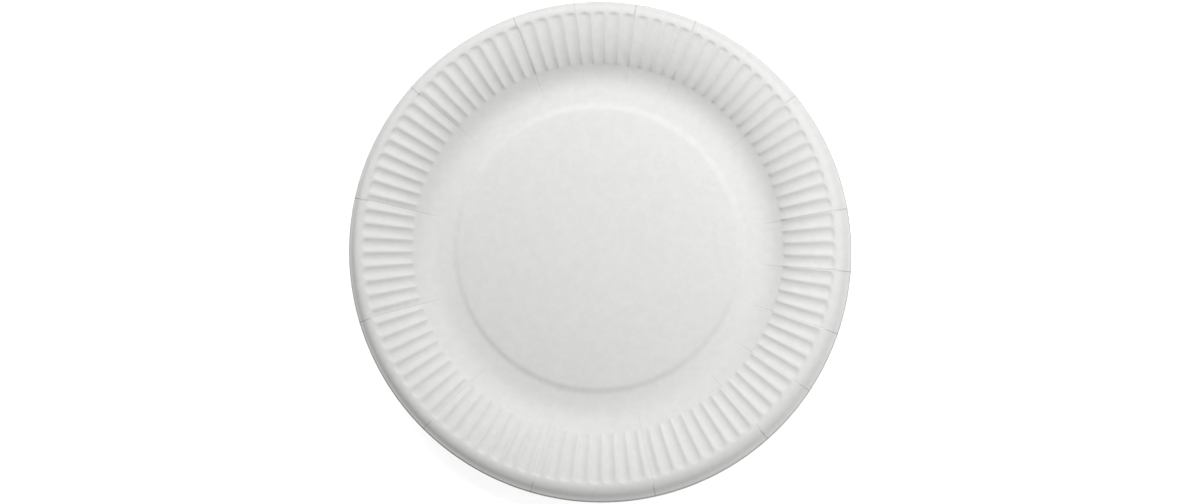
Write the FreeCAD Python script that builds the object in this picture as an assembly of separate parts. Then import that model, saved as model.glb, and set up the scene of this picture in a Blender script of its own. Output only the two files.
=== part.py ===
"""Round pressed paperboard plate, one sheet pressed in a heated die.

Millimetres, +Z up. The origin is the centre of the plate on the plane of its
foot ring, and +X and +Y lie in that plane. The food side faces up.

From the middle outwards the section is a raised flat disc, a soft step down
to a narrow foot ring, a curve up into the fluted wall, a crest, and a lip
that is turned down and flares a little at the cut edge. The section is drawn
in arcs. Outside the foot ring it is laid out in one flat for each flute.
"""
import FreeCAD
import Part
import math
import os

# Driving dimensions of the section, in millimetres and degrees, on the food side.
sheet = 0.4
disc_radius = 64.6
disc_rise = 1.2
step_width = 4.7
foot_ring_width = 5.2
curve_up_width = 11.0
wall_slope = 46.0
wall_width = 22.8
wall_top_slope = 16.0
crest_width = 1.6
lip_width = 3.0
lip_slope = 40.0
flare_width = 2.1
flare_end_slope = 6.0

# Flutes are shallow grooves pressed side by side into the wall, with narrow lands between.
# Creases are folds on the lands.
crease_count = 25
flutes_per_crease = 4
flute_depth = 0.7
flute_end_length = 2.6
flute_side_angle = 24.0
land_width = 0.85
crease_depth = 0.2
first_crease_angle = 8.6

pitch = 360 / (crease_count * flutes_per_crease)
centre = FreeCAD.Vector(0, 0, 0)
up = FreeCAD.Vector(0, 0, 1)


def sine(angle):
    return math.sin(math.radians(angle))


def cosine(angle):
    return math.cos(math.radians(angle))


def tangent(angle):
    return math.tan(math.radians(angle))


def at(radius, height, angle):
    """The point at a radius and a height, turned by an angle about the axis."""
    return FreeCAD.Vector(radius * cosine(angle), radius * sine(angle), height)


class Arc:
    """An arc of the section, from one slope to another over a width.

    A slope is positive where the section rises outwards. A hollow arc has its
    centre above the sheet, and a crown has it below.
    """

    def __init__(self, start, first_slope, last_slope, width):
        self.hollow = 1 if last_slope > first_slope else -1
        self.radius = width / abs(sine(last_slope) - sine(first_slope))
        self.centre_radius = start[0] - self.hollow * self.radius * sine(first_slope)
        self.centre_height = start[1] + self.hollow * self.radius * cosine(first_slope)

    def point(self, slope, below=0.0):
        """The radius and height where the arc has a slope, at a depth below the food side."""
        reach = self.hollow * self.radius + below
        return (self.centre_radius + reach * sine(slope), self.centre_height - reach * cosine(slope))


step_slope = 2 * math.degrees(math.atan(disc_rise / step_width))
step_top = Arc((disc_radius, sheet + disc_rise), 0, -step_slope, step_width / 2)
step_foot = Arc(step_top.point(-step_slope), -step_slope, 0, step_width / 2)
foot_ring_edge = (disc_radius + step_width + foot_ring_width, sheet)
curve_up = Arc(foot_ring_edge, 0, wall_slope, curve_up_width)
wall = Arc(curve_up.point(wall_slope), wall_slope, wall_top_slope, wall_width)
crest = Arc(wall.point(wall_top_slope), wall_top_slope, 0, crest_width)
lip = Arc(crest.point(0), 0, -lip_slope, lip_width)
flare = Arc(lip.point(-lip_slope), -lip_slope, -flare_end_slope, flare_width)


def step_rows(below):
    """Radii and heights down the step, from the disc's edge to the foot ring."""
    middle = -step_slope / 2
    rows = [step_top.point(0, below), step_top.point(middle, below)]
    return rows + [step_foot.point(middle, below), step_foot.point(0, below)]


def curve_up_rows(below):
    """Radii and heights from the foot ring's outer edge to just below the flutes."""
    return [curve_up.point(wall_slope * share, below) for share in (0, 1 / 3, 2 / 3)]


def lip_rows(below):
    """Radii and heights from the crest, over the lip, to the cut edge."""
    rows = [lip.point(-lip_slope * share, below) for share in (0, 1 / 2, 1)]
    return rows + [flare.point(-flare_end_slope, below)]


def flute_stations(below):
    """Slope, outline half width and floor half width where a flute's shape has corners.

    Each skin's corners stand off from the other's by the sheet's thickness.
    """
    corner_shift = below * tangent(flute_side_angle / 2)
    side_run = flute_depth / tangent(flute_side_angle)
    end_turn = math.degrees(flute_end_length / wall.radius)
    inner_slope = wall_slope - end_turn
    outer_slope = wall_top_slope + end_turn
    stations = []
    for share in (0, 1 / 2, 1):
        slope = inner_slope + (outer_slope - inner_slope) * share
        pitch_width = wall.point(slope)[0] * math.radians(pitch)
        half_width = (pitch_width - land_width) / 2 + corner_shift
        stations.append((slope, half_width, half_width - side_run))
    return stations


def flat(*corners):
    return Part.Face(Part.makePolygon(list(corners) + [corners[0]]))


def twisted(first, second, third, fourth):
    """The ruled face between the edges first to second and fourth to third."""
    return Part.makeRuledSurface(Part.makeLine(first, second), Part.makeLine(fourth, third))


def pair(row, half_width, angle):
    """The two points a half width to each side of a flute's middle line."""
    half_angle = math.degrees(half_width / row[0])
    return [at(*row, angle - half_angle), at(*row, angle + half_angle)]


class Flute:
    """The outline and floor of one flute on one skin, from its inner to its outer end."""

    def __init__(self, angle, below):
        self.outline = []
        self.floor = []
        stations = flute_stations(below)
        for slope, half_width, floor_half_width in stations:
            self.outline.append(pair(wall.point(slope, below), half_width, angle))
            floor_row = wall.point(slope, below + flute_depth)
            self.floor.append(pair(floor_row, floor_half_width, angle))
        inner_tip = pair(wall.point(wall_slope, below), stations[0][1] / 2, angle)
        outer_tip = pair(wall.point(wall_top_slope, below), stations[-1][1] / 2, angle)
        self.outline = [inner_tip] + self.outline + [outer_tip]

    def faces(self):
        made = []
        for near, far, top_near, top_far in zip(
            self.floor, self.floor[1:], self.outline[1:], self.outline[2:]
        ):
            made.append(flat(near[0], near[1], far[1], far[0]))
            for side in (0, 1):
                made.append(twisted(top_near[side], near[side], far[side], top_far[side]))
        for tip, top, end in (
            (self.outline[0], self.outline[1], self.floor[0]),
            (self.outline[-1], self.outline[-2], self.floor[-1]),
        ):
            made.append(flat(tip[0], tip[1], end[1], end[0]))
            for side in (0, 1):
                made.append(flat(tip[side], top[side], end[side]))
        return made


def plain_land(left, right):
    """The land between two flutes."""
    edges = list(zip([points[1] for points in left.outline], [points[0] for points in right.outline]))
    return [flat(near[0], near[1], far[1], far[0]) for near, far in zip(edges, edges[1:])]


def creased_land(left, right, angle, below):
    """The land between two flutes, with a crease folded into it between its two ends."""
    sides = list(zip([points[1] for points in left.outline], [points[0] for points in right.outline]))
    fold = []
    for slope, half_width, floor_half_width in flute_stations(below):
        fold.append(at(*wall.point(slope, below + crease_depth), angle))
    made = []
    for tip, near, bottom in ((sides[0], sides[1], fold[0]), (sides[-1], sides[-2], fold[-1])):
        made.append(flat(tip[0], tip[1], bottom))
        made += [flat(tip[side], near[side], bottom) for side in (0, 1)]
    for near, far, bottom, next_bottom in zip(sides[1:], sides[2:-1], fold, fold[1:]):
        for side in (0, 1):
            made.append(twisted(near[side], bottom, next_bottom, far[side]))
    return made


def flats_between(rows, angle):
    """The flats of one flute's pitch between rows of the section."""
    made = []
    for near, far in zip(rows, rows[1:]):
        corners = [at(*near, angle - pitch / 2), at(*near, angle + pitch / 2)]
        made.append(flat(*corners, at(*far, angle + pitch / 2), at(*far, angle - pitch / 2)))
    return made


def joining_flats(row, tip, next_tip, angle):
    """The flats between a plain row of the section and the flutes' ends."""
    left = at(*row, angle - pitch / 2)
    right = at(*row, angle + pitch / 2)
    return [flat(left, right, tip[1], tip[0]), flat(right, tip[1], next_tip[0])]


def pitch_faces(index, below):
    """All that lies outside the foot ring in one flute's pitch, with the land after it."""
    angle = first_crease_angle - pitch / 2 + index * pitch
    flute = Flute(angle, below)
    next_flute = Flute(angle + pitch, below)
    made = flute.faces()
    if index % flutes_per_crease == 0:
        made += creased_land(flute, next_flute, angle + pitch / 2, below)
    else:
        made += plain_land(flute, next_flute)
    inner_rows = curve_up_rows(below)
    outer_rows = lip_rows(below)
    made += flats_between(inner_rows, angle)
    made += joining_flats(inner_rows[-1], flute.outline[0], next_flute.outline[0], angle)
    made += joining_flats(outer_rows[0], flute.outline[-1], next_flute.outline[-1], angle)
    return made + flats_between(outer_rows, angle)


def around(faces, turn, count):
    """The faces and their turned copies, evenly round the axis."""
    group = Part.makeCompound(faces)
    made = []
    for i in range(count):
        copy = group.copy()
        copy.rotate(centre, up, i * turn)
        made += copy.Faces
    return made


def middle_faces(below):
    """The disc, the step and the foot ring on one skin."""
    rows = step_rows(below)
    circles = [Part.makeCircle(row[0], centre + up * row[1]) for row in (rows[0], rows[-1])]
    disc, hole = [Part.Face(Part.Wire(circle)) for circle in circles]
    section = Part.makePolygon([at(*row, 0) for row in rows])
    ring_row = curve_up_rows(below)[0]
    count = crease_count * flutes_per_crease
    corners = [at(*ring_row, first_crease_angle + i * pitch) for i in range(count)]
    return [disc] + section.revolve(centre, up, 360).Faces + flat(*corners).cut(hole).Faces


def plate():
    sector = flats_between([lip_rows(0)[-1], lip_rows(sheet)[-1]], first_crease_angle - pitch / 2)
    made = around(sector, pitch, crease_count * flutes_per_crease)
    for below in (0, sheet):
        sector = []
        for index in range(flutes_per_crease):
            sector += pitch_faces(index, below)
        made += around(sector, flutes_per_crease * pitch, crease_count)
        made += middle_faces(below)
    skin = Part.makeCompound(made)
    skin.sewShape()
    return Part.Solid(skin.Shells[0])


os.makedirs("parts", exist_ok=True)
body = plate()
if not (body.isValid() and body.isClosed() and body.Volume > 0):
    raise ValueError("the plate's skins don't close")
print("faces", len(body.Faces), "volume", round(body.Volume), "mm3", body.BoundBox)
body.exportStep("parts/plate.step")
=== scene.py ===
# %% [markdown]
# # A pressed paperboard plate
# This lesson dresses one round plate. The real one is a single sheet of white paperboard. A heated
# die presses it, so its shape follows a rule: one section, turned about the axis, with grooves that
# repeat round the wall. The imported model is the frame, and it gives the size and the place.

# %% Load the frame and keep its size
import math

import bmesh
import bpy
from mathutils import Matrix, Vector


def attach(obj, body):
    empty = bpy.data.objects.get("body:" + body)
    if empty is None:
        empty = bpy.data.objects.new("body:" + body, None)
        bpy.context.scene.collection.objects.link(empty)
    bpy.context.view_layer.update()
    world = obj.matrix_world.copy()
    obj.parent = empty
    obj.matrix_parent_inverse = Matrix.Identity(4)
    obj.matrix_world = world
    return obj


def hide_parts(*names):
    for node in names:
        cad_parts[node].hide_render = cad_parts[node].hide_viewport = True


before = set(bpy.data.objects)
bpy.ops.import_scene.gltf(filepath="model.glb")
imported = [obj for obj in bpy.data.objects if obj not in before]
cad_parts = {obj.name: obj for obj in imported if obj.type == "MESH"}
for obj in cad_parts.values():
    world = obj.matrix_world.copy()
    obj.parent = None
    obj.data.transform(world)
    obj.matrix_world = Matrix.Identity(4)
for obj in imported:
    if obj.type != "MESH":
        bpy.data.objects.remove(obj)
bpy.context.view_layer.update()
MM = 0.001

# %% [markdown]
# ## The section
# A section of arcs is easier to change than a list of points. Each arc starts where the last one
# ends, with the same slope, so the sheet has no kinks. The sizes are in metres, and they are the
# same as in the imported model.

# %% Sizes of the section
sheet = 0.4 * MM
disc_radius = 64.6 * MM
disc_rise = 1.2 * MM
step_width = 4.7 * MM
foot_ring_width = 5.2 * MM
curve_up_width = 11.0 * MM
wall_slope = math.radians(46)
wall_width = 22.8 * MM
wall_top_slope = math.radians(16)
crest_width = 1.6 * MM
lip_width = 3.0 * MM
lip_slope = math.radians(40)
flare_width = 2.1 * MM
flare_end_slope = math.radians(6)


# %% A helper that walks along the section
class Section:
    """The food side's section, as rows of radius, height, slope and distance along the sheet."""

    def __init__(self, radius, height):
        self.rows = [(radius, height, 0.0, 0.0)]

    def straight(self, width, steps):
        """A level run outwards."""
        for _ in range(steps):
            radius, height, slope, along = self.rows[-1]
            self.rows.append((radius + width / steps, height, slope, along + width / steps))

    def arc(self, last_slope, width, shares):
        """An arc over a width, with a row at each share of its turn."""
        start_radius, start_height, first_slope, start_along = self.rows[-1]
        turn = last_slope - first_slope
        bend = width / (math.sin(last_slope) - math.sin(first_slope))
        for share in shares:
            slope = first_slope + turn * share
            radius = start_radius + bend * (math.sin(slope) - math.sin(first_slope))
            height = start_height + bend * (math.cos(first_slope) - math.cos(slope))
            along = start_along + abs(bend * turn * share)
            self.rows.append((radius, height, slope, along))


def even_shares(steps):
    return [(i + 1) / steps for i in range(steps)]


# %% [markdown]
# ## Rows that follow the flutes
# The flutes start and end within a few millimetres, so the rows there lie close together. Along a
# flute's middle a few rows are enough. Their places are distances from the flute's two ends.

# %% Draw the section
step_slope = 2 * math.atan(disc_rise / step_width)
wall_bend = wall_width / (math.sin(wall_slope) - math.sin(wall_top_slope))
flute_length = wall_bend * (wall_slope - wall_top_slope)
end_distances = [d * MM for d in (0.35, 0.8, 1.4, 2.4)]
flute_rows = end_distances + [flute_length * share for share in (0.3, 0.5, 0.7)]
flute_rows += [flute_length - d for d in reversed(end_distances)] + [flute_length]

first_row_radius = disc_radius / 2
section = Section(first_row_radius, sheet + disc_rise)
section.straight(disc_radius - first_row_radius, 1)
section.arc(-step_slope, step_width / 2, even_shares(3))
section.arc(0.0, step_width / 2, even_shares(3))
section.straight(foot_ring_width, 1)
section.arc(wall_slope, curve_up_width, even_shares(5))
flute_start = section.rows[-1][3]
section.arc(wall_top_slope, wall_width, [d / flute_length for d in flute_rows])
section.arc(0.0, crest_width, even_shares(2))
crest_along = section.rows[-1][3]
section.arc(-lip_slope, lip_width, even_shares(5))
section.arc(-flare_end_slope, flare_width, even_shares(3))
rim_along = section.rows[-1][3]
print("section rows", len(section.rows), "crest height mm", round(max(r[1] for r in section.rows) / MM, 2))

# %% [markdown]
# ## The blank
# Before it is pressed, the plate is a flat blank. Here the blank already has the plain section, and
# it is cut into equal sectors, one for each flute. One sector is drawn as a grid, with columns that
# are close together where the flute meets the land beside it.

# %% Make one sector of the blank
flute_count = 100
pitch = 2 * math.pi / flute_count
half_columns = (0.25, 0.5, 0.7, 0.82, 0.92, 1.0)  # shares of half a pitch


def make_blank():
    """One sector, with each point's slope and distance along the sheet as attributes."""
    shares = [-share for share in reversed(half_columns)] + [0.0] + list(half_columns)
    angles = [share * pitch / 2 for share in shares]
    points = [(0.0, 0.0, section.rows[0][1])]
    slopes = [0.0]
    alongs = [-flute_start]
    for radius, height, slope, along in section.rows:
        for angle in angles:
            points.append((radius * math.cos(angle), radius * math.sin(angle), height))
            slopes.append(slope)
            alongs.append(along - flute_start)
    width = len(angles)
    faces = [(0, 1 + i, 2 + i) for i in range(width - 1)]
    for row in range(len(section.rows) - 1):
        for i in range(width - 1):
            corner = 1 + row * width + i
            faces.append((corner, corner + width, corner + width + 1, corner + 1))
    mesh = bpy.data.meshes.new("blank_sector")
    mesh.from_pydata(points, [], faces)
    for name, values in (("slope", slopes), ("along", alongs)):
        mesh.attributes.new(name, "FLOAT", "POINT").data.foreach_set("value", values)
    return mesh


blank = make_blank()
print("sector points", len(blank.vertices), "faces", len(blank.polygons))

# %% [markdown]
# ## Small tools for node trees
# A node tree that does arithmetic gets long. These helpers add one node and link its inputs, so a
# formula reads almost as it would on paper. A value may be a number or another node's output.


# %% Helpers for building trees
class Tree:
    """A node tree with short ways to add nodes."""

    def __init__(self, tree):
        self.tree = tree

    def add(self, kind, settings=None, **inputs):
        node = self.tree.nodes.new(kind)
        for name, value in (settings or {}).items():
            setattr(node, name, value)
        for name, value in inputs.items():
            self.feed(node.inputs[name.replace("_", " ")], value)
        return node

    def feed(self, socket, value):
        if isinstance(value, bpy.types.NodeSocket):
            self.tree.links.new(value, socket)
        elif value is not None:
            socket.default_value = value

    def math(self, operation, *values, clamp=False):
        node = self.tree.nodes.new("ShaderNodeMath")
        node.operation = operation
        node.use_clamp = clamp
        for socket, value in zip(node.inputs, values):
            self.feed(socket, value)
        return node.outputs[0]

    def vector(self, operation, *values):
        node = self.tree.nodes.new("ShaderNodeVectorMath")
        node.operation = operation
        for socket, value in zip(node.inputs, values):
            self.feed(socket, value)
        return node.outputs[0]

    def scaled(self, vector, factor):
        node = self.tree.nodes.new("ShaderNodeVectorMath")
        node.operation = "SCALE"
        self.feed(node.inputs[0], vector)
        self.feed(node.inputs["Scale"], factor)
        return node.outputs[0]

    def length(self, x, y):
        squares = self.math("ADD", self.math("MULTIPLY", x, x), self.math("MULTIPLY", y, y))
        return self.math("SQRT", squares)

    def ramp(self, value, low, high, first=0.0, last=1.0, smooth=True):
        node = self.tree.nodes.new("ShaderNodeMapRange")
        node.interpolation_type = "SMOOTHSTEP" if smooth else "LINEAR"
        for name, number in (("Value", value), ("From Min", low), ("From Max", high)):
            self.feed(node.inputs[name], number)
        self.feed(node.inputs["To Min"], first)
        self.feed(node.inputs["To Max"], last)
        return node.outputs["Result"]

    def combine(self, x, y, z):
        return self.add("ShaderNodeCombineXYZ", X=x, Y=y, Z=z).outputs[0]


def new_input(group, name, kind, value=None):
    socket = group.interface.new_socket(name, in_out="INPUT", socket_type=kind)
    if value is not None:
        socket.default_value = value
    return socket


# %% [markdown]
# ## The press
# This tree presses the blank. It turns copies of the sector about the axis and joins them. Then it
# works out how far each point lies from the middle line of the nearest flute, as a share of the
# flute's half width, and pushes the point along the sheet's normal. The push is a shallow scoop, so
# the flutes are round at the bottom and the lands between them are narrow ridges. A flute's outer
# end is round. At the inner end the ridges rise out of the plain curve below the wall. To let them
# rise, the whole fluted band is lifted by the flutes' depth there, and less and less towards its
# outer end. The press stood a little off the blank's centre, so all inside the cut edge is moved
# over by two millimetres, and the lip is wider on one side. The cut edge is a little oval, and it
# wavers in height.

# %% Sizes of the flutes
press_sizes = {
    "Flutes": flute_count,
    "First Flute": math.radians(3.06),
    "Flute Depth": 0.84 * MM,
    "Inner Half Width": 2.3 * MM,
    "Outer Half Width": 2.9 * MM,
    "End Share": 0.7,
    "Ridge Rise": 3.2 * MM,
    "Flute Length": flute_length,
    "Press Shift X": -0.97 * MM,
    "Press Shift Y": 1.72 * MM,
    "Oval": 0.3 * MM,
    "Oval Angle": math.radians(150),
    "Crest Along": crest_along - flute_start,
    "Rim Along": rim_along - flute_start,
    "Waver": 0.3 * MM,
    "Waver Scale": 14.0,
    "Join Distance": 0.002 * MM,
}


# %% Build the press
def nearest_turn(tree, angle, step):
    """How far an angle is from the nearest whole number of steps, from minus a half to a half."""
    turns = tree.math("DIVIDE", angle, step)
    return tree.math("SUBTRACT", turns, tree.math("ROUND", turns))


def build_press():
    group = bpy.data.node_groups.new("press_the_blank", "GeometryNodeTree")
    group.interface.new_socket("Geometry", in_out="INPUT", socket_type="NodeSocketGeometry")
    group.interface.new_socket("Geometry", in_out="OUTPUT", socket_type="NodeSocketGeometry")
    for name, value in press_sizes.items():
        kind = "NodeSocketInt" if isinstance(value, int) else "NodeSocketFloat"
        new_input(group, name, kind, value)
    new_input(group, "Paperboard", "NodeSocketMaterial")
    tree = Tree(group)
    given = group.nodes.new("NodeGroupInput").outputs

    # One copy of the sector for each flute.
    spots = tree.add("GeometryNodePoints", Count=given["Flutes"])
    index = group.nodes.new("GeometryNodeInputIndex").outputs[0]
    pitch_angle = tree.math("DIVIDE", 2 * math.pi, given["Flutes"])
    angle = tree.math("ADD", tree.math("MULTIPLY", index, pitch_angle), given["First Flute"])
    copies = tree.add("GeometryNodeInstanceOnPoints")
    tree.feed(copies.inputs["Points"], spots.outputs[0])
    tree.feed(copies.inputs["Instance"], given["Geometry"])
    tree.feed(copies.inputs["Rotation"], tree.combine(0.0, 0.0, angle))
    real = tree.add("GeometryNodeRealizeInstances", Geometry=copies.outputs[0])
    joined = tree.add("GeometryNodeMergeByDistance", Geometry=real.outputs[0],
                      Distance=given["Join Distance"])

    # Where each point is: its radius, its angle, its slope and its distance along the sheet.
    place = group.nodes.new("GeometryNodeInputPosition").outputs[0]
    parts = tree.add("ShaderNodeSeparateXYZ", Vector=place).outputs
    radius = tree.length(parts[0], parts[1])
    angle = tree.math("ARCTAN2", parts[1], parts[0])
    slope, along = [
        tree.add("GeometryNodeInputNamedAttribute", {"data_type": "FLOAT"}, Name=name).outputs[0]
        for name in ("slope", "along")
    ]

    # The flutes: a scoop across a slot that is round at its outer end, in a lifted band.
    turned = tree.math("SUBTRACT", angle, given["First Flute"])
    share = nearest_turn(tree, turned, pitch_angle)
    across = tree.math("MULTIPLY", tree.math("MULTIPLY", share, pitch_angle), radius)
    half = tree.ramp(along, 0.0, given["Flute Length"], given["Inner Half Width"],
                     given["Outer Half Width"], smooth=False)
    outer_end = tree.math("MULTIPLY", given["Outer Half Width"], given["End Share"])
    outer_start = tree.math("SUBTRACT", given["Flute Length"], outer_end)
    end_gap = tree.math("DIVIDE", tree.math("SUBTRACT", along, outer_start), outer_end)
    end_gap = tree.math("MAXIMUM", end_gap, 0.0)
    rise = tree.ramp(along, 0.0, given["Ridge Rise"])
    side_gap = tree.math("MULTIPLY", tree.math("DIVIDE", across, half), rise)
    reach = tree.length(side_gap, end_gap)
    scoop = tree.math("SUBTRACT", 1.0, tree.math("MULTIPLY", reach, reach))
    scoop = tree.math("MAXIMUM", scoop, 0.0)
    band = tree.ramp(along, 0.0, given["Flute Length"], 1.0, 0.0, smooth=False)
    out = tree.math("MULTIPLY", tree.math("SUBTRACT", band, scoop), given["Flute Depth"])

    # Push each point along the sheet's normal.
    lean = tree.math("MULTIPLY", tree.math("SINE", slope), -1.0)
    cosine, sine = tree.math("COSINE", angle), tree.math("SINE", angle)
    normal = tree.combine(tree.math("MULTIPLY", lean, cosine), tree.math("MULTIPLY", lean, sine),
                          tree.math("COSINE", slope))
    push = tree.scaled(normal, out)

    # Move what lies inside the cut edge over.
    inside = tree.ramp(along, given["Crest Along"], given["Rim Along"], 1.0, 0.0, smooth=False)
    shift = tree.scaled(tree.combine(given["Press Shift X"], given["Press Shift Y"], 0.0), inside)

    # Make the edge a little oval, and let it waver in height.
    outer_part = tree.ramp(along, 0.0, given["Rim Along"])
    twice = tree.math("MULTIPLY", tree.math("SUBTRACT", angle, given["Oval Angle"]), 2.0)
    bulge = tree.math("MULTIPLY", tree.math("COSINE", twice), given["Oval"])
    ripple = tree.add("ShaderNodeTexNoise", Vector=place, Scale=given["Waver Scale"], Detail=1.0)
    waver = tree.math("MULTIPLY", tree.math("SUBTRACT", ripple.outputs[0], 0.5), given["Waver"])
    loose = tree.combine(tree.math("MULTIPLY", bulge, cosine), tree.math("MULTIPLY", bulge, sine), waver)
    offset = tree.vector("ADD", tree.vector("ADD", push, shift), tree.scaled(loose, outer_part))
    shaped = tree.add("GeometryNodeSetPosition", Geometry=joined.outputs[0], Offset=offset)

    # The tree ends with real geometry and its material.
    whole = tree.add("GeometryNodeRealizeInstances", Geometry=shaped.outputs[0])
    smooth = tree.add("GeometryNodeSetShadeSmooth")
    tree.feed(smooth.inputs[0], whole.outputs[0])
    finish = tree.add("GeometryNodeSetMaterial")
    tree.feed(finish.inputs["Geometry"], smooth.outputs[0])
    tree.feed(finish.inputs["Material"], given["Paperboard"])
    end = group.nodes.new("NodeGroupOutput")
    group.links.new(finish.outputs[0], end.inputs[0])
    return group


press = build_press()
print("press nodes", len(press.nodes))

# %% [markdown]
# ## Paperboard
# The board is white, with a thin coat of clay that hides most of its fibres. From a step away it
# looks even and matt. Close to, it is faintly mottled, and its surface has a fine tooth. A group
# holds both, so that other board could use them with other values.


# %% A shader group for the board's tooth and mottle
def build_board_grain():
    group = bpy.data.node_groups.new("board_grain", "ShaderNodeTree")
    new_input(group, "Light", "NodeSocketColor")
    new_input(group, "Dark", "NodeSocketColor")
    new_input(group, "Mottle Scale", "NodeSocketFloat", 260.0)
    new_input(group, "Tooth Scale", "NodeSocketFloat", 1400.0)
    group.interface.new_socket("Color", in_out="OUTPUT", socket_type="NodeSocketColor")
    group.interface.new_socket("Height", in_out="OUTPUT", socket_type="NodeSocketFloat")
    tree = Tree(group)
    given = group.nodes.new("NodeGroupInput").outputs
    place = group.nodes.new("ShaderNodeTexCoord").outputs["Object"]
    mottle = tree.add("ShaderNodeTexNoise", Vector=place, Scale=given["Mottle Scale"],
                      Detail=4.0, Roughness=0.7)
    tooth = tree.add("ShaderNodeTexNoise", Vector=place, Scale=given["Tooth Scale"],
                     Detail=3.0, Roughness=0.6)
    mix = tree.add("ShaderNodeMix", {"data_type": "RGBA"})
    tree.feed(mix.inputs["Factor"], tree.ramp(mottle.outputs[0], 0.3, 0.7))
    tree.feed(mix.inputs["A"], given["Dark"])
    tree.feed(mix.inputs["B"], given["Light"])
    end = group.nodes.new("NodeGroupOutput")
    group.links.new(mix.outputs["Result"], end.inputs["Color"])
    group.links.new(tooth.outputs[0], end.inputs["Height"])
    return group


board_grain = build_board_grain()

# %% [markdown]
# ## Creases
# The blank is scored before it is pressed, so that the spare paper of the wall folds up in even
# places. The folds are hairlines, much finer than the mesh, so the shader draws them as height for
# a bump. They are centred on the blank and not on the press, so they wander across the flutes.
# Inside the flutes a fold is a groove, and on the lip it stands up as a small pleat. Round the
# lower left of the picture every second fold hardly shows, and so do two at the upper right.
# The group also gives a mask of painted shade along each fold. It is strongest where the fold
# meets the cut edge and weaker along the pleat over the lip.


# %% A shader group for the creases
def build_creases():
    group = bpy.data.node_groups.new("creases", "ShaderNodeTree")
    for name, value in (("Creases", 25.0), ("First Crease", math.radians(9.4)),
                        ("Half Width", 0.45 * MM), ("Inner Radius", 76 * MM),
                        ("Groove Fade", 4 * MM), ("Lip Radius", 108 * MM), ("Lip Fade", 2 * MM),
                        ("Rim Radius", 115 * MM), ("Edge Shade Depth", 1.5 * MM), ("Groove", 0.35),
                        ("Pleat", 0.4), ("Pleat Shade", 0.65),
                        ("Faint Side", math.radians(205)), ("Odd Faint Side", math.radians(38)),
                        ("Faint", 0.2)):
        new_input(group, name, "NodeSocketFloat", value)
    group.interface.new_socket("Height", in_out="OUTPUT", socket_type="NodeSocketFloat")
    group.interface.new_socket("Dark", in_out="OUTPUT", socket_type="NodeSocketFloat")
    tree = Tree(group)
    given = group.nodes.new("NodeGroupInput").outputs
    place = group.nodes.new("ShaderNodeTexCoord").outputs["Object"]
    parts = tree.add("ShaderNodeSeparateXYZ", Vector=place).outputs
    radius = tree.length(parts[0], parts[1])
    angle = tree.math("ARCTAN2", parts[1], parts[0])

    # Distance from the nearest fold's line, and the fold's number.
    step = tree.math("DIVIDE", 2 * math.pi, given["Creases"])
    from_first = tree.math("SUBTRACT", angle, given["First Crease"])
    from_first = tree.math("FLOORED_MODULO", from_first, 2 * math.pi)
    turns = tree.math("DIVIDE", from_first, step)
    number = tree.math("ROUND", turns)
    off = tree.math("MULTIPLY", tree.math("SUBTRACT", turns, number), step)
    off = tree.math("ABSOLUTE", tree.math("MULTIPLY", off, radius))
    line = tree.ramp(off, 0.0, given["Half Width"], 1.0, 0.0)

    # Every even fold fades round one direction, and every odd one close round another.
    odd = tree.math("ABSOLUTE", tree.math("MODULO", number, 2.0))
    facing = tree.math("COSINE", tree.math("SUBTRACT", angle, given["Faint Side"]))
    faint = tree.math("MULTIPLY", tree.ramp(facing, -0.6, -0.1), tree.math("SUBTRACT", 1.0, odd))
    facing_odd = tree.math("COSINE", tree.math("SUBTRACT", angle, given["Odd Faint Side"]))
    faint_odd = tree.math("MULTIPLY", tree.ramp(facing_odd, 0.8, 0.95), odd)
    faint = tree.math("MAXIMUM", faint, faint_odd)
    strength = tree.ramp(faint, 0.0, 1.0, 1.0, given["Faint"], smooth=False)
    line = tree.math("MULTIPLY", line, strength)

    # A groove from the foot of the wall to the crest, and a pleat over the lip.
    groove_full = tree.math("ADD", given["Inner Radius"], given["Groove Fade"])
    on_wall = tree.ramp(radius, given["Inner Radius"], groove_full)
    groove = tree.math("MULTIPLY", on_wall, given["Groove"])
    pleat_full = tree.math("ADD", given["Lip Radius"], given["Lip Fade"])
    on_lip = tree.ramp(radius, given["Lip Radius"], pleat_full)
    both = tree.math("ADD", given["Groove"], given["Pleat"])
    profile = tree.math("SUBTRACT", tree.math("MULTIPLY", on_lip, both), groove)
    height = tree.math("MULTIPLY", line, profile)

    # Painted shade: each fold's line is darkened where it meets the cut edge, and less so along the pleat.
    edge_shade_start = tree.math("SUBTRACT", given["Rim Radius"], given["Edge Shade Depth"])
    edge_shade_mask = tree.ramp(radius, edge_shade_start, given["Rim Radius"])
    painted_fold_shade = tree.math("MAXIMUM", edge_shade_mask, tree.math("MULTIPLY", on_lip, given["Pleat Shade"]))
    painted_fold_shade = tree.math("MULTIPLY", line, painted_fold_shade)
    end = group.nodes.new("NodeGroupOutput")
    group.links.new(height, end.inputs["Height"])
    group.links.new(painted_fold_shade, end.inputs["Dark"])
    return group


creases = build_creases()


# %% The plate's own material
light_board = (0.838, 0.838, 0.82, 1)
dark_board = (0.802, 0.805, 0.787, 1)
# The colour of the painted shade along the folds, and how much of it is mixed in.
painted_fold_shade_color = (0.25, 0.25, 0.24, 1)
painted_fold_shade_strength = 0.4
tooth_height = 0.05 * MM
fold_height = 0.4 * MM


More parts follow.
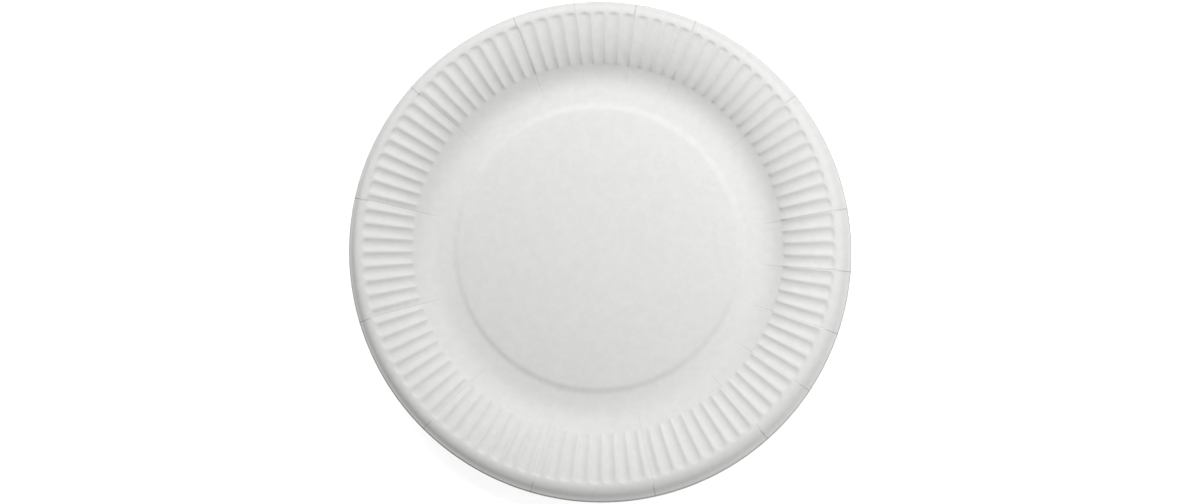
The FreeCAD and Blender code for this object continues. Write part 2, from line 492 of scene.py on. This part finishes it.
def make_paperboard():
    material = bpy.data.materials.new("paperboard")
    material.use_nodes = True
    nodes, links = material.node_tree.nodes, material.node_tree.links
    tree = Tree(material.node_tree)
    shader = nodes["Principled BSDF"]
    shader.inputs["Roughness"].default_value = 0.62
    shader.inputs["Specular IOR Level"].default_value = 0.35
    grain = nodes.new("ShaderNodeGroup")
    grain.node_tree = board_grain
    grain.inputs["Light"].default_value = light_board
    grain.inputs["Dark"].default_value = dark_board
    folds = nodes.new("ShaderNodeGroup")
    folds.node_tree = creases

    # Painted shade in the colour: the folds' lines are darkened where they meet the cut edge, and less so
    # along the pleats.
    color = tree.add("ShaderNodeMix", {"data_type": "RGBA"})
    tree.feed(color.inputs["Factor"], tree.math("MULTIPLY", folds.outputs["Dark"], painted_fold_shade_strength))
    tree.feed(color.inputs["A"], grain.outputs["Color"])
    color.inputs["B"].default_value = painted_fold_shade_color
    links.new(color.outputs["Result"], shader.inputs["Base Color"])

    # The tooth is a faint bump, and the folds are a second bump on top of it.
    tooth = nodes.new("ShaderNodeBump")
    tooth.inputs["Strength"].default_value = 0.12
    tooth.inputs["Distance"].default_value = tooth_height
    links.new(grain.outputs["Height"], tooth.inputs["Height"])
    fold_bump = nodes.new("ShaderNodeBump")
    fold_bump.inputs["Strength"].default_value = 1.0
    fold_bump.inputs["Distance"].default_value = fold_height
    links.new(folds.outputs["Height"], fold_bump.inputs["Height"])
    links.new(tooth.outputs["Normal"], fold_bump.inputs["Normal"])
    links.new(fold_bump.outputs["Normal"], shader.inputs["Normal"])
    return material


paperboard = make_paperboard()
print("shader nodes", len(paperboard.node_tree.nodes))

# %% [markdown]
# ## From blank to plate
# The tree runs as a modifier on the blank. A second modifier gives the sheet its thickness below
# the food side. The result is kept as a plain mesh, and it takes the place of the frame's plate.


# %% Press the plate and give the sheet its thickness
def set_inputs(modifier, values):
    """Sets a tree's inputs by their identifiers."""
    for item in modifier.node_group.interface.items_tree:
        if item.item_type == "SOCKET" and item.name in values:
            modifier[item.identifier] = values[item.name]


def press_plate():
    blank.materials.append(paperboard)
    plate = bpy.data.objects.new("pressed_plate", blank)
    bpy.context.scene.collection.objects.link(plate)
    modifier = plate.modifiers.new("press", "NODES")
    modifier.node_group = press
    set_inputs(modifier, {**press_sizes, "Paperboard": paperboard})
    thickness = plate.modifiers.new("sheet", "SOLIDIFY")
    thickness.thickness = sheet
    thickness.offset = -1  # all of it below the blank
    thickness.use_even_offset = True
    graph = bpy.context.evaluated_depsgraph_get()
    made = bpy.data.meshes.new_from_object(plate.evaluated_get(graph))
    plate.modifiers.clear()
    plate.data = made
    made.name = "pressed_plate"
    for name in ("slope", "along"):
        if name in made.attributes:
            made.attributes.remove(made.attributes[name])
    return plate


plate = press_plate()
check = bmesh.new()
check.from_mesh(plate.data)
open_edges = sum(not edge.is_manifold for edge in check.edges)
print("triangles", sum(len(face.verts) - 2 for face in check.faces), "open edges", open_edges,
      "volume mm3", round(check.calc_volume() / MM**3))
check.free()
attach(plate, "root")
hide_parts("plate")

# %% [markdown]
# ## The floor
# The photograph's ground is plain white. The floor adds white of its own, but only where it is
# seen directly, in a reflection or through glass. The plate gets no extra light from it, and its
# shadow stays.

# %% A pale floor
floor_half = 3.0
floor_glow = 0.8


def make_floor(half, white):
    mesh = bpy.data.meshes.new("floor")
    corners = [(-half, -half, 0), (half, -half, 0), (half, half, 0), (-half, half, 0)]
    mesh.from_pydata(corners, [], [(0, 1, 2, 3)])
    floor = bpy.data.objects.new("floor", mesh)
    bpy.context.scene.collection.objects.link(floor)
    material = bpy.data.materials.new("pale_floor")
    material.use_nodes = True
    nodes, links = material.node_tree.nodes, material.node_tree.links
    shader = nodes["Principled BSDF"]
    shader.inputs["Base Color"].default_value = (0.88, 0.88, 0.88, 1)
    shader.inputs["Roughness"].default_value = 0.9
    shader.inputs["Specular IOR Level"].default_value = 0.0
    rays = nodes.new("ShaderNodeLightPath")
    tree = Tree(material.node_tree)
    seen = tree.math("ADD", rays.outputs["Is Camera Ray"], rays.outputs["Is Glossy Ray"])
    seen = tree.math("ADD", seen, rays.outputs["Is Transmission Ray"], clamp=True)
    glow = tree.math("MULTIPLY", seen, white)
    shader.inputs["Emission Color"].default_value = (1, 1, 1, 1)
    links.new(glow, shader.inputs["Emission Strength"])
    mesh.materials.append(material)


make_floor(floor_half, floor_glow)
print("floor is", 2 * floor_half, "m wide")

# %% [markdown]
# ## Light
# Three soft lamps stand above the plate. The strong one is at the upper right of the picture, a
# lower one is at the upper left, and a weak one at the right. The world fills the rest.


# %% Lamps and world
def add_lamp(name, place, power, size=0.2, target=(0, 0, 0)):
    """A round soft lamp that faces the target."""
    lamp = bpy.data.lights.new(name, "AREA")
    lamp.shape = "DISK"
    lamp.size = size
    lamp.energy = power
    holder = bpy.data.objects.new(name, lamp)
    holder.location = place
    holder.rotation_euler = (Vector(place) - Vector(target)).to_track_quat("Z", "Y").to_euler()
    bpy.context.scene.collection.objects.link(holder)


def round_the_plate(distance, azimuth, elevation):
    """A place by its distance, its compass angle from +X and its height angle, in degrees."""
    a, e = math.radians(azimuth), math.radians(elevation)
    return (distance * math.cos(e) * math.cos(a), distance * math.cos(e) * math.sin(a),
            distance * math.sin(e))


add_lamp("key", round_the_plate(0.5, 45, 62), 1.41)
add_lamp("low", round_the_plate(0.5, 130, 35), 0.67)
add_lamp("side", round_the_plate(0.35, -10, 55), 0.14)
world = bpy.data.worlds.new("studio")
world.use_nodes = True
world.node_tree.nodes["Background"].inputs["Color"].default_value = (1, 1, 1, 1)
world.node_tree.nodes["Background"].inputs["Strength"].default_value = 0.15
bpy.context.scene.world = world
bpy.context.scene.view_settings.view_transform = "Standard"
print("lamps", [light.name for light in bpy.data.lights])

# %% [markdown]
# ## The camera
# The photograph looks almost straight down. The camera leans a few degrees to the near side, and it
# stands nearly three plate widths away. Its lens is set so that the picture is as wide, where the
# plate is, as the photograph.

# %% Place the camera
view_distance = 0.65
view_lean = math.radians(3.1)
view_azimuth = math.radians(298)
view_target = (0.29 * MM, -0.79 * MM, 14 * MM)
picture_pixels = 1200
pixels_per_metre = 2173
picture_width = picture_pixels / pixels_per_metre


def make_camera():
    back = Vector((math.sin(view_lean) * math.cos(view_azimuth),
                   math.sin(view_lean) * math.sin(view_azimuth), math.cos(view_lean)))
    right = Vector((0, 1, 0)).cross(back).normalized()
    upward = back.cross(right)
    target = Vector(view_target)
    data = bpy.data.cameras.new("camera")
    data.sensor_width = 36
    data.lens = data.sensor_width * view_distance / picture_width
    camera = bpy.data.objects.new("camera", data)
    turn = Matrix((right, upward, back)).transposed()
    camera.matrix_world = Matrix.Translation(target + back * view_distance) @ turn.to_4x4()
    bpy.context.scene.collection.objects.link(camera)
    bpy.context.scene.camera = camera
    return camera


camera = make_camera()
print("lens mm", round(camera.data.lens, 1))
